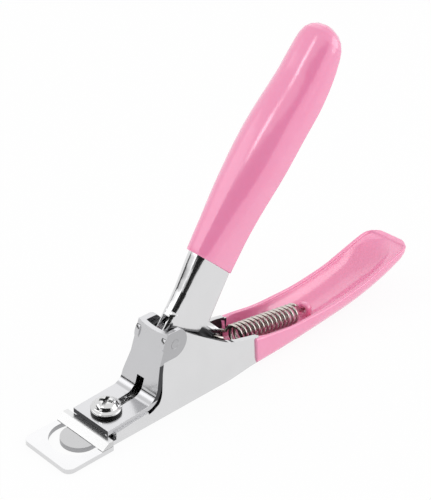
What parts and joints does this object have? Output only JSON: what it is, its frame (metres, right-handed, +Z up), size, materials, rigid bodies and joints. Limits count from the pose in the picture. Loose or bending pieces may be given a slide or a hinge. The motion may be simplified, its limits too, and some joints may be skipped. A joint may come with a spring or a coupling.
{
  "type": "guillotine nail clipper",
  "caption": "Plier-shaped guillotine nail clipper with a crescent-holed nose plate, a sliding blade, a clamped cover plate and dipped handles.",
  "frame": {"origin": "on the flat underside, straight below the handle pivot, in the middle plane", "axes": "+X towards the handles' free ends, -X towards the nose plate, +Z up from the flat underside, Y across the tool"},
  "size_m": [0.1313, 0.0166, 0.0871],
  "materials": {
    "polished_steel": "mirror-polished pressed steel",
    "bright_steel": "polished turned steel",
    "dark_steel": "blackened steel",
    "bush_steel": "plain turned or pressed steel",
    "blade_steel": "ground hardened steel",
    "spring_steel": "nickel-plated spring wire",
    "pink_vinyl": "glossy soft dipped vinyl"
  },
  "bodies": {
    "frame": {"frame": "polished_steel", "cover_plate": "polished_steel", "clamp_screw": "bright_steel", "screw_washer": "dark_steel", "guide_bush": "bush_steel", "pivot_pin": "bright_steel", "lower_grip": "pink_vinyl", "return_spring": "spring_steel"},
    "lever": {"upper_handle": "polished_steel", "drive_tongue": "bush_steel", "upper_grip": "pink_vinyl"},
    "blade": {"blade": "blade_steel"}
  },
  "joints": [
    {"name": "handle_pivot", "type": "hinge", "parent": "frame", "child": "lever", "pos_m": [0, 0, 0.0185], "axis": [0, 1, 0], "range_deg": [0, 28], "stiffness_Nm_per_rad": 0.3, "springref_deg": -14.32, "deforming": ["return_spring"]},
    {"name": "blade_slide", "type": "slide", "parent": "frame", "child": "blade", "axis": [-1, 0, 0], "range_m": [0, 0.0077]}
  ],
  "couplings": [
    {"joint": "blade_slide", "follows": "handle_pivot", "m_per_rad": 0.015736}
  ]
}
